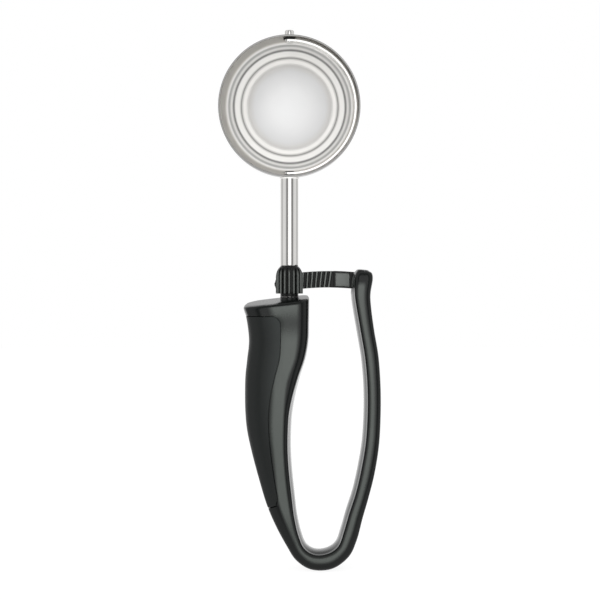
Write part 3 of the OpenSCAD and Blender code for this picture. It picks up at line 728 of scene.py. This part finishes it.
def rack_rings(sizes):
    """Sections of the rack along its arc round the hinge line, and their painted-light shares, by which the teeth's
    tips and the panel's floor are painted lighter as painted light and the grooves stay dark as painted shade. A
    section's point at radius q from the hinge stands at the angle asin(-x0 / q) + p * step, where p is its place, so
    that every line of a tooth is upright when the tooth has reached the pinion. The panel's lines are upright at rest
    instead: each keeps the x of its middle."""
    hinge_x, hinge_z = HINGE[0], HINGE[2]
    reach = RACK_Z - hinge_z
    mid = math.hypot(hinge_x, reach)
    front, root = PITCH_R - MODULE, PITCH_R + DEDENDUM
    rail, back = root - 0.8 * MM, root + 1.5 * MM
    stations = rack_stations(sizes.rack_height / 2, front, root, rail, TOOTH_STEP * reach)
    p, h, face, floor = np.array(stations).T[:, :, None]
    bevel, frame_h, frame_slope = 0.2 * MM, 0.85 * MM, 0.1 * MM
    low = h - frame_h
    # one section: heights from the middle line, then depths from the shank's axis
    upper, lower = [h, h, h - bevel, low, low - frame_slope], [-low + frame_slope, -low, bevel - h, -h, -h]
    radial = np.concatenate(upper + lower + [bevel - h, h - bevel], axis=1)
    rim, rear = np.full_like(h, back - bevel), np.full_like(h, back)
    side = [rim, face + bevel, face, face, floor]
    depth = np.concatenate(side + side[::-1] + [rear, rear], axis=1)
    q = mid + radial
    turn = np.arcsin(-hinge_x / q) + p * TOOTH_STEP
    middle = mid * np.sin(np.arcsin(-hinge_x / mid) + p * TOOTH_STEP)
    turn = np.where(p > PANEL, np.arcsin(middle / q), turn)
    rings = np.stack([hinge_x + q * np.sin(turn), AXIS_Y + depth, hinge_z + q * np.cos(turn)], axis=-1)
    # The teeth are painted lighter towards their tips, as painted light, and darker in the grooves, as painted shade;
    # past the teeth only the panel's sunk floor is painted light.
    painted_tips = np.where(p < PANEL, (root - 0.6 * MM - depth) / (0.6 * MM), 0.0)
    painted_tips = np.where((floor > face) & (depth == floor), 1.2, painted_tips)
    return rings, np.stack([painted_tips, np.ones_like(painted_tips), np.ones_like(painted_tips)], axis=-1)


class SCOOP_OT_rack(bpy.types.Operator):
    """Build the arched rack with its teeth and its framed panel"""

    bl_idname = "scoop.rack"
    bl_label = "Rack"

    def execute(self, context):
        rings, painted_light = rack_rings(context.scene.scoop_sizes)
        skin = join_rings(rings)
        rack = add_piece("toothed_rack", skin, finish("satin pinion plastic"), 25, painted_light)
        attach(rack, "lever")
        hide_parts("rack_strip")
        return {"FINISHED"}


# ---------------------------------------------------------------- grip loop
# Stations along the loop, in millimetres: its outer line's x and z, its inner
# line's x and z, half its depth, the radius of its outer and inner corners, the
# crown of its inner wall, and how far the pad's seam is from the outer line.
OUT_X, OUT_Z, IN_X, IN_Z, DEPTH, OUT_R, IN_R, CROWN, SEAM = range(9)
STATIONS = np.array(
    [
        [-21.4, -98.9, 9.4, -95.3, 11.0, 8.0, 4.5, 0.2, 15.0],
        [-22.7, -100.6, 9.95, -96.9, 12.0, 9.0, 5.0, 0.2, 16.5],
        [-21.2, -106.0, 9.9, -106.0, 12.2, 9.0, 5.0, 0.2, 17.0],
        [-20.0, -116.0, 9.7, -116.0, 12.2, 9.0, 5.0, 0.3, 16.0],
        [-20.9, -125.5, 8.3, -125.0, 12.2, 9.0, 4.8, 0.5, 16.3],
        [-21.8, -134.0, 5.5, -134.0, 12.2, 9.0, 4.2, 0.8, 15.0],
        [-22.0, -143.0, 3.2, -143.0, 12.2, 9.0, 3.4, 1.2, 13.2],
        [-21.8, -152.0, 1.6, -152.0, 12.0, 8.6, 2.8, 1.5, 11.9],
        [-20.9, -161.0, 1.0, -160.5, 11.7, 8.0, 2.6, 1.5, 11.1],
        [-18.5, -172.0, 0.9, -170.0, 11.2, 7.2, 2.5, 1.5, 9.6],
        [-15.2, -184.2, 1.5, -180.5, 10.6, 6.0, 2.5, 1.5, 8.0],
        [-11.3, -197.0, 2.7, -192.0, 10.0, 4.6, 2.5, 1.5, 6.6],
        [-7.0, -207.2, 3.9, -202.2, 9.7, 4.0, 2.4, 1.5, 6.0],
        [-1.5, -217.4, 5.8, -211.3, 9.5, 3.4, 2.4, 1.5, 5.2],
        [3.5, -224.9, 8.4, -217.5, 9.5, 3.2, 2.4, 1.5, 5.0],
        [11.2, -229.4, 13.1, -220.3, 9.5, 3.0, 2.4, 1.5, 5.0],
        [21.3, -228.9, 18.9, -219.6, 9.5, 3.0, 2.4, 1.5, 5.0],
        [29.4, -223.0, 23.2, -216.2, 9.5, 3.0, 2.4, 1.5, 5.0],
        [33.4, -214.6, 25.5, -209.6, 9.5, 2.8, 2.4, 1.5, 5.0],
        [36.2, -204.0, 28.0, -200.8, 9.5, 2.6, 2.4, 1.5, 5.0],
        [39.2, -193.6, 31.3, -190.6, 9.5, 2.5, 2.4, 1.5, 5.0],
        [42.2, -181.6, 33.9, -179.2, 9.5, 2.5, 2.4, 1.5, 5.0],
        [44.4, -167.5, 36.0, -166.5, 9.5, 2.5, 2.4, 1.5, 5.0],
        [45.2, -152.0, 36.9, -152.0, 9.5, 2.5, 2.4, 1.5, 5.0],
        [45.1, -138.0, 36.8, -138.4, 9.5, 2.5, 2.4, 1.5, 5.0],
        [44.1, -124.0, 35.7, -125.2, 9.5, 2.5, 2.4, 1.5, 5.0],
        [42.0, -111.5, 33.7, -113.0, 9.6, 2.5, 2.4, 1.5, 5.0],
        [40.5, -100.5, 31.7, -101.4, 9.8, 2.5, 2.4, 1.5, 5.0],
        [40.1, -93.5, 30.7, -93.5, 10.0, 2.5, 2.4, 1.4, 5.0],
        [41.2, -86.5, 31.2, -86.5, 10.0, 2.8, 2.4, 1.0, 5.0],
        [40.9, -83.2, 31.9, -83.2, 9.6, 2.8, 2.4, 0.8, 5.0],
        [39.4, -82.0, 33.3, -81.5, 8.4, 2.0, 2.0, 0.4, 3.2],
    ]
)
LAST = len(STATIONS) - 1
# the grip's top stations slope down to the front, and sit higher than the others
TOP_LEAN, TOP_STATIONS = 0.13, 3
STATIONS[:TOP_STATIONS, [OUT_Z, IN_Z]] += 0.33
STATIONS[TOP_STATIONS:, [OUT_Z, IN_Z]] -= 0.05
PAD_START, PAD_END, PAD_CORNER = 1.75, 11.2, 5.0
# the sides' flat faces are painted greyer, as painted light, from a first to a last place, and less so in the hollows,
# as painted shade, as (place, breadth, share)
SHADED_HOLLOWS = ((2.15, 0.7, 0.6), (12.8, 1.1, 0.36))
FACE_START, FACE_END = 1.0, 28.95
MIRROR = np.array([1, -1])


def stations_at(p):
    """The loop's measures at places p, on the smooth curve through the stations
    a, b, c and d round each place, t past b:
    half of (2b + (c-a)t + (2a-5b+4c-d)t^2 + (3b-a-3c+d)t^3)."""
    i = np.minimum(np.floor(p).astype(int), LAST - 1)
    t = (p - i)[:, None]
    a, b, c, d = (STATIONS[np.clip(i + k, 0, LAST)] for k in (-1, 0, 1, 2))
    return 0.5 * (2 * b + (c - a) * t + (2 * a - 5 * b + 4 * c - d) * t**2 + (3 * b - a - 3 * c + d) * t**3)


def seams_at(p):
    """The pad's edge, measured from the outer side. It curls in by a quarter
    circle towards the pad's two ends."""
    s = stations_at(p)
    ends = stations_at(np.array([PAD_START, PAD_END]))
    middle, end_z = (s[:, OUT_Z] + s[:, IN_Z]) / 2, (ends[:, OUT_Z] + ends[:, IN_Z]) / 2
    d = np.minimum(np.abs(middle - end_z[0]), np.abs(middle - end_z[1]))
    d = np.where((p < PAD_START) | (p > PAD_END), 0, np.minimum(d, PAD_CORNER))
    curl, least = 0.8, 0.4
    drop = curl * (PAD_CORNER - np.sqrt(PAD_CORNER**2 - (PAD_CORNER - d) ** 2))
    return np.maximum(s[:, SEAM] - drop, s[:, OUT_R] + least)


def widths(s):
    """How wide each section is, from its outer line to its inner line."""
    return np.hypot(s[:, IN_X] - s[:, OUT_X], s[:, IN_Z] - s[:, OUT_Z])


def corner_points(u, v, r, start, end, steps):
    """Arcs of one corner for all sections: (u + r cos a, v + r sin a)."""
    a = np.radians(np.linspace(start, end, steps))[None, :]
    return np.stack([u[:, None] + r[:, None] * np.cos(a), v[:, None] + r[:, None] * np.sin(a)], axis=-1)


def point(u, v):
    """One point (u, v) for each section."""
    return np.stack(np.broadcast_arrays(u, v), axis=-1)[:, None, :]


def outer_half(s, seam, sink, edge):
    """Half of a section's outer part, sunk by a depth for each section; edge is
    how far the seam's edge is rounded over."""
    r, h = s[:, OUT_R], s[:, DEPTH]
    rows = [corner_points(r, h - r, r - sink, 180, 90, 14)]
    rows.append(point(r + (seam - r) * 0.5, h - sink))
    rows.append(point(seam - edge, h - sink))
    rows.append(point(seam - edge * 0.3, h - sink - edge * 0.3))
    rows.append(point(seam, h - sink - edge))
    return np.concatenate(rows, axis=1)


def inner_half(s, seam, floor):
    """Half of the rest of a section: up the seam's wall from its floor, along the
    face, round the inner corner and over the crowned inner wall."""
    r, h, crown = s[:, IN_R], s[:, DEPTH], s[:, CROWN]
    w = widths(s) - crown
    edge = np.minimum(0.2, floor)
    rows = [point(seam, h - floor), point(seam, h - edge)]
    rows += [point(seam + 0.3 * edge, h - 0.3 * edge), point(seam + edge, h)]
    rows += [point(seam + edge + (w - r - seam - edge) * k, h) for k in (0.35, 0.7)]
    rows.append(corner_points(w - r, h - r, r, 90, 0, 12))
    rows += [point(w + crown * (1 - k**2), (h - r) * k) for k in np.linspace(1, 0, 8)[1:-1]]
    return np.concatenate(rows, axis=1)


def loop_painted_light(s, p, half):
    """Painted-light shares round each section: how far a point is past the outer corner, how far it is inside the
    inner corner, and its share along the loop, which is nothing at the grip's top and the lever's head and less in the
    grip's hollows. Flat faces are painted lighter by them as painted light; corners, the grip's top, the lever's head
    and the hollows stay darker as painted shade."""
    outer, inner = s[:, OUT_R, None], s[:, IN_R, None]
    u = np.concatenate([half[..., 0], half[:, ::-1, 0]], axis=1)
    corner = np.minimum(2.2 * outer - 3.3, 1.4 * outer - 1.0)
    past = (u - corner) / np.maximum(0.45 * outer, 2.0)
    grip = np.clip(np.minimum(p - 4, 13 - p) / 2, 0, 1)[:, None]
    corner = np.minimum(1.4 * inner - 1.06, 4.5) + 0.7 * grip
    inside = (widths(s)[:, None] - u - corner) / (0.75 + 0.3 * inner)
    along = 1 - sum(share * np.exp(-(((p - place) / breadth) ** 2)) for place, breadth, share in SHADED_HOLLOWS)
    along = np.minimum(along, np.minimum((p - FACE_START) / 0.12, (FACE_END - p) / 0.5))
    along = np.repeat(along[:, None], u.shape[1], axis=1)
    return np.stack([past, inside, along], axis=-1)


def in_space(s, p, ring):
    """Sections (u, v) set in space, in metres: u runs from the outer line towards
    the inner one, v along the depth. On the grip's top z also rises with v."""
    w = widths(s)
    dx, dz = (s[:, IN_X] - s[:, OUT_X]) / w, (s[:, IN_Z] - s[:, OUT_Z]) / w
    lean = TOP_LEAN * np.maximum(0, 1 - p / TOP_STATIONS)
    u, v = ring[..., 0], ring[..., 1]
    x = s[:, OUT_X, None] + dx[:, None] * u
    z = s[:, OUT_Z, None] + dz[:, None] * u + lean[:, None] * v
    return np.stack([x * MM, AXIS_Y + v * MM, z * MM], axis=-1)


def dome_end(ring, rises):
    """Rings that close an end in a low dome: each is the end's ring drawn in to a
    share of its size, and lifted by (x, y, z) millimetres."""
    centre = ring.mean(axis=0)
    return np.stack([centre + (ring - centre) * share + np.array(lift) * MM for share, lift in rises])


def pad_places():
    """Places along the pad's bed, closer together near its two ends."""
    ends = np.array([0.015, 0.03, 0.06, 0.1, 0.15, 0.2, 0.27, 0.35, 0.43])
    middle = np.linspace(PAD_START + 0.5, PAD_END - 0.5, 84)
    return np.concatenate([PAD_START + ends, middle, PAD_END - ends[::-1]])


def loop_mesh(sizes):
    """The loop from the grip's top round the bend to the lever's head, with a bed
    for the pad. Where the bed begins and ends the places repeat, for its wall."""
    thick, edge, rim_edge_shade = sizes.pad_thickness / MM, 0.015, 0.2
    before, bed = np.linspace(0, PAD_START, 24)[:-1], pad_places()
    after = np.linspace(PAD_END, LAST, 190)[1:]
    start, end = [PAD_START - edge, PAD_START, PAD_START], [PAD_END, PAD_END, PAD_END + edge]
    p = np.concatenate([before, start, bed, end, after])
    sink = np.concatenate([before * 0, [0, rim_edge_shade, thick], np.full_like(bed, thick), [thick, rim_edge_shade, 0], after * 0])
    s, seam = stations_at(p), seams_at(p)
    half = np.concatenate([outer_half(s, seam, sink, 0.0)[:, :-3], inner_half(s, seam, sink)], axis=1)
    rings = in_space(s, p, np.concatenate([half, half[:, ::-1] * MIRROR], axis=1))
    rises = [(0.03, 0.34), (0.5, 0.32), (0.85, 0.27), (0.95, 0.18), (0.985, 0.07)]
    top = dome_end(rings[0], [(share, (-0.02 * up, -TOP_LEAN * up, up)) for share, up in rises])
    rises = [(0.93, 0.28), (0.8, 0.5), (0.5, 0.62), (0.05, 0.66)]
    head = dome_end(rings[-1], [(share, (0, 0, up)) for share, up in rises])
    painted_light = loop_painted_light(s, p, half)
    painted_light = np.concatenate([painted_light[:1].repeat(len(top), 0), painted_light, painted_light[-1:].repeat(len(head), 0)])
    return join_rings(np.concatenate([top, rings, head])), painted_light


def pad_mesh(sizes):
    """The pad as a shell over the bed, its edge rounded and its ends eased in."""
    gap, thick = sizes.seam_width / MM, sizes.pad_thickness / MM - 0.02
    p = pad_places()
    p[:2] = PAD_START + np.array([0.03, 0.035])
    p[:-3:-1] = PAD_END - np.array([0.03, 0.035])
    sink = np.zeros_like(p)
    sink[:3] = sink[:-4:-1] = (0.35, 0.14, 0.03)
    s, seam = stations_at(p), seams_at(p) - gap
    outer = outer_half(s, seam, sink, 0.3)
    inner = outer_half(s, seam, np.full_like(p, thick), 0.0)[:, :-3]
    inner = np.concatenate([inner, point(seam, s[:, DEPTH] - thick)], axis=1)
    outer_row, inner_row = (np.concatenate([half[:, ::-1] * MIRROR, half], axis=1) for half in (outer, inner))
    ring = np.concatenate([outer_row, inner_row[:, ::-1]], axis=1)
    # The pad is painted lighter towards its seam, where it turns to the front, as painted light.
    front = (ring[..., 0] - 7) / 11
    painted_light = np.stack([front, np.ones_like(front), np.ones_like(front)], axis=-1)
    return join_skin_with_open_section(in_space(s, p, ring)), painted_light


def join_skin_with_open_section(rings):
    """Like join_rings, with each end closed by a strip between the outer and the
    inner row of its C-shaped section."""
    points, faces = join_rings(rings)
    faces = faces[:-2]
    n, m = rings.shape[:2]
    strip = [[k, k + 1, m - 2 - k, m - 1 - k] for k in range(m // 2 - 1)]
    faces += [f[::-1] for f in strip]
    faces += [[v + (n - 1) * m for v in f] for f in strip]
    return points, faces


def boss_profile():
    """(radius, height) of the boss round the shank: a hollow fillet that starts
    inside the grip, a short neck, and a rounded edge on top."""
    top = span("thrust_washer", 2)[0] - 0.02 * MM
    bore, r, fillet, edge = 3.72 * MM, 4.6 * MM, 2.2 * MM, 0.25 * MM
    neck, foot = top - 1.2 * MM, top - 9 * MM
    return np.concatenate(
        [
            [(bore, foot), (r + fillet, foot)],
            arc((r + fillet, neck - 0.1 * MM), fillet, 265, 180, 10),
            [(r, z) for z in np.linspace(neck, top - edge, 5)],
            arc((r - edge, top - edge), edge, 0, 90, 5),
            [(bore, top)],
        ]
    )


class SCOOP_OT_loop(bpy.types.Operator):
    """Build the one-piece grip and lever loop, and the boss round the shank"""

    bl_idname = "scoop.loop"
    bl_label = "Grip loop"

    def execute(self, context):
        sizes = context.scene.scoop_sizes
        skin, painted_light = loop_mesh(sizes)
        loop = add_piece("grip_loop", skin, finish("grained grip plastic"), 50, painted_light)
        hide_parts("handle_body", "lever_arm")
        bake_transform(loop)
        skin = lathe(boss_profile(), 96, closed_run=True)
        boss = add_piece("shank_boss", skin, finish("grained grip plastic"))
        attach(boss, "handle")
        return {"FINISHED"}


class SCOOP_OT_pad(bpy.types.Operator):
    """Build the soft pad on the palm side of the grip"""

    bl_idname = "scoop.pad"
    bl_label = "Grip pad"

    def execute(self, context):
        skin, painted_light = pad_mesh(context.scene.scoop_sizes)
        pad = add_piece("soft_pad", skin, finish("soft pad rubber"), 60, painted_light)
        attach(pad, "handle")
        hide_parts("grip_pad")
        return {"FINISHED"}


# ---------------------------------------------------------------- solids kept
class SCOOP_OT_kept(bpy.types.Operator):
    """Give the solids that stay as they are their finishes"""

    bl_idname = "scoop.kept"
    bl_label = "Kept solids"

    def execute(self, context):
        finishes = {
            "upper_bush": "bearing nylon",
            "tube_plug": "bearing nylon",
            "anchor_pin": "turned rivet steel",
            "thrust_washer": "black washer nylon",
            "spindle": "drawn shank steel",
            # Darkened washer steel: painted shade in the gap between the blade's end and the bowl.
            "blade_rivet_washer": "blackened washer steel",
            "pivot_washers": "black washer nylon",
            "drive_key": "turned rivet steel",
        }
        for node, key in finishes.items():
            for slot in frame["nodes"][node].material_slots:
                slot.material = finish(key)
        return {"FINISHED"}


# ---------------------------------------------------------------- stage
def add_lamp(name, place, target, size, power):
    """A round area lamp at a place, turned to its target and left out of gloss."""
    lamp = bpy.data.lights.new(name, "AREA")
    lamp.shape = "DISK"
    lamp.size = size
    lamp.energy = power
    light = bpy.data.objects.new(name, lamp)
    light.location = place
    light.rotation_euler = (Vector(target) - Vector(place)).to_track_quat("-Z", "Y").to_euler()
    light.visible_glossy = False
    bpy.context.scene.collection.objects.link(light)
    return light


def add_rim_panel(floor_z):
    """A panel close behind the grip, which only the plastic loop's gloss sees: it
    rims the loop's walls with light."""
    width, height, radiance = 0.55, 0.135, 0.8
    place = Vector((0.02, 0.16, floor_z + height / 2 + 2 * MM))
    panel = add_lamp("rim panel", place, place - Vector((0, 1, 0)), width, radiance * math.pi * width * height)
    panel.data.shape = "RECTANGLE"
    panel.data.size_y = height
    panel.visible_glossy = True
    panel.visible_diffuse = False
    panel.visible_camera = False
    rimmed = bpy.data.collections.new("rimmed")
    rimmed.objects.link(bpy.data.objects["grip_loop"])
    panel.light_linking.receiver_collection = rimmed


def studio_light(tree, direction):
    """Light of the studio along a direction, by its angle from the front: a small
    bright panel, a dark frame round it, then pale screens to the back."""
    unit = vector_math(tree, "NORMALIZE", direction)
    front = vector_math(tree, "DOT_PRODUCT", unit.outputs["Vector"], (0.07, -0.9975, 0))
    # kept a little under 1, where the arc cosine ends
    cosine = socket_math(tree, "MULTIPLY", front.outputs["Value"], 0.9999)
    turn = socket_math(tree, "DIVIDE", socket_math(tree, "ARCCOSINE", cosine), math.pi)
    # (degrees from the front, light)
    screens = [
        (0, 1.4), (15, 1.4), (25, 0.2), (38, 0.24), (50, 0.75), (62, 0.82), (84, 0.82), (104, 0.5), (120, 0.5),
        (132, 1.05), (154, 1.1), (168, 0.8), (180, 0.6),
    ]
    return ramp(tree, turn, screens, 180)


def mix_shaders(tree, share, first, second):
    """A Mix Shader node between two shader nodes, by a share of the second."""
    node = tree.nodes.new("ShaderNodeMixShader")
    tree.links.new(share, node.inputs["Fac"])
    tree.links.new(first.outputs[0], node.inputs[1])
    tree.links.new(second.outputs[0], node.inputs[2])
    return node


class SCOOP_OT_stage(bpy.types.Operator):
    """Set the floor, the studio light and the camera"""

    bl_idname = "scoop.stage"
    bl_label = "Stage"

    def execute(self, context):
        scene = context.scene
        scene.view_settings.view_transform = "Standard"
        floor_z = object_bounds()[0][2] - 0.3 * MM
        mesh = bpy.data.meshes.new("floor")
        half = 3.0
        mesh.from_pydata([(-half, -half, 0), (half, -half, 0), (half, half, 0), (-half, half, 0)], [], [[0, 1, 2, 3]])
        mesh.materials.append(self.floor_material())
        floor = bpy.data.objects.new("floor", mesh)
        floor.location = (0, 0, floor_z)
        scene.collection.objects.link(floor)
        floor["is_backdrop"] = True
        self.world(scene)
        aim = (5 * MM, AXIS_Y, -95 * MM)
        add_lamp("key lamp", (-0.35, -1.2, 0.3), aim, 0.7, 6.3)
        add_lamp("fill lamp", (0.45, -1.1, 0.05), aim, 0.9, 4.7)
        add_rim_panel(floor_z)
        camera = bpy.data.cameras.new("camera")
        camera.sensor_fit = "HORIZONTAL"
        camera.sensor_width = 36
        camera.lens = 78.8
        camera.clip_start = 0.01
        view = bpy.data.objects.new("camera", camera)
        view.location = (5.3 * MM, -0.65, -96.3 * MM)
        view.rotation_euler = (math.pi / 2, 0, 0)
        scene.collection.objects.link(view)
        scene.camera = view
        return {"FINISHED"}

    def floor_material(self):
        """White to the camera, the studio to reflections, and a plain floor to the
        light; a share of the plain floor keeps the object's shadow."""
        material = bpy.data.materials.new("white floor")
        tree, out = empty_tree(material, "ShaderNodeOutputMaterial")
        plain = tree.nodes.new("ShaderNodeBsdfDiffuse")
        plain.inputs["Color"].default_value = (0.9, 0.9, 0.9, 1)
        white = tree.nodes.new("ShaderNodeEmission")
        white.inputs["Strength"].default_value = 1.12
        path = tree.nodes.new("ShaderNodeLightPath")
        place = tree.nodes.new("ShaderNodeTexCoord")
        # the floor as seen from a point over it
        seen = vector_math(tree, "ADD", place.outputs["Object"], (0, 0, -130 * MM))
        studio = tree.nodes.new("ShaderNodeEmission")
        tree.links.new(studio_light(tree, seen.outputs["Vector"]), studio.inputs["Color"])
        whiteness = socket_math(tree, "MULTIPLY", path.outputs["Is Camera Ray"], 0.8)
        shown = mix_shaders(tree, whiteness, plain, white)
        mirrored = mix_shaders(tree, path.outputs["Is Glossy Ray"], shown, studio)
        tree.links.new(mirrored.outputs[0], out.inputs["Surface"])
        return material

    def world(self, scene):
        """A white backdrop, and the studio for light and reflections."""
        world = bpy.data.worlds.new("studio")
        scene.world = world
        tree, out = empty_tree(world, "ShaderNodeOutputWorld")
        white = tree.nodes.new("ShaderNodeBackground")
        white.inputs["Color"].default_value = (1, 1, 1, 1)
        studio = tree.nodes.new("ShaderNodeBackground")
        path = tree.nodes.new("ShaderNodeLightPath")
        place = tree.nodes.new("ShaderNodeTexCoord")
        tree.links.new(studio_light(tree, place.outputs["Generated"]), studio.inputs["Color"])
        shown = mix_shaders(tree, path.outputs["Is Camera Ray"], studio, white)
        tree.links.new(shown.outputs[0], out.inputs["Surface"])


# ---------------------------------------------------------------- panel
PIECES = ("bowl", "blade", "shank", "pinion", "rack", "loop", "pad", "kept", "stage")


class SCOOP_PT_panel(bpy.types.Panel):
    """Lists the scoop's pieces, sizes and colours"""

    bl_idname = "SCOOP_PT_panel"
    bl_label = "Ice Cream Scoop"
    bl_space_type = "VIEW_3D"
    bl_region_type = "UI"
    bl_category = "Scoop"

    def draw(self, context):
        layout = self.layout
        for group in (context.scene.scoop_sizes, context.scene.scoop_colours):
            box = layout.box()
            for key in group.bl_rna.properties.keys():
                if key not in ("rna_type", "name"):
                    box.prop(group, key)
        for piece in PIECES:
            layout.operator("scoop." + piece)


CLASSES = (
    ScoopSizes,
    ScoopColours,
    SCOOP_OT_bowl,
    SCOOP_OT_blade,
    SCOOP_OT_shank,
    SCOOP_OT_pinion,
    SCOOP_OT_rack,
    SCOOP_OT_loop,
    SCOOP_OT_pad,
    SCOOP_OT_kept,
    SCOOP_OT_stage,
    SCOOP_PT_panel,
)


def register():
    """Register the classes and their properties."""
    for cls in CLASSES:
        bpy.utils.register_class(cls)
    bpy.types.Scene.scoop_sizes = PointerProperty(type=ScoopSizes)
    bpy.types.Scene.scoop_colours = PointerProperty(type=ScoopColours)


def unregister():
    """Take the properties and the classes away again."""
    del bpy.types.Scene.scoop_colours
    del bpy.types.Scene.scoop_sizes
    for cls in reversed(CLASSES):
        bpy.utils.unregister_class(cls)


def main():
    """Build every piece and the stage."""
    register()
    for piece in PIECES:
        getattr(bpy.ops.scoop, piece)()


if __name__ == "__main__":
    main()
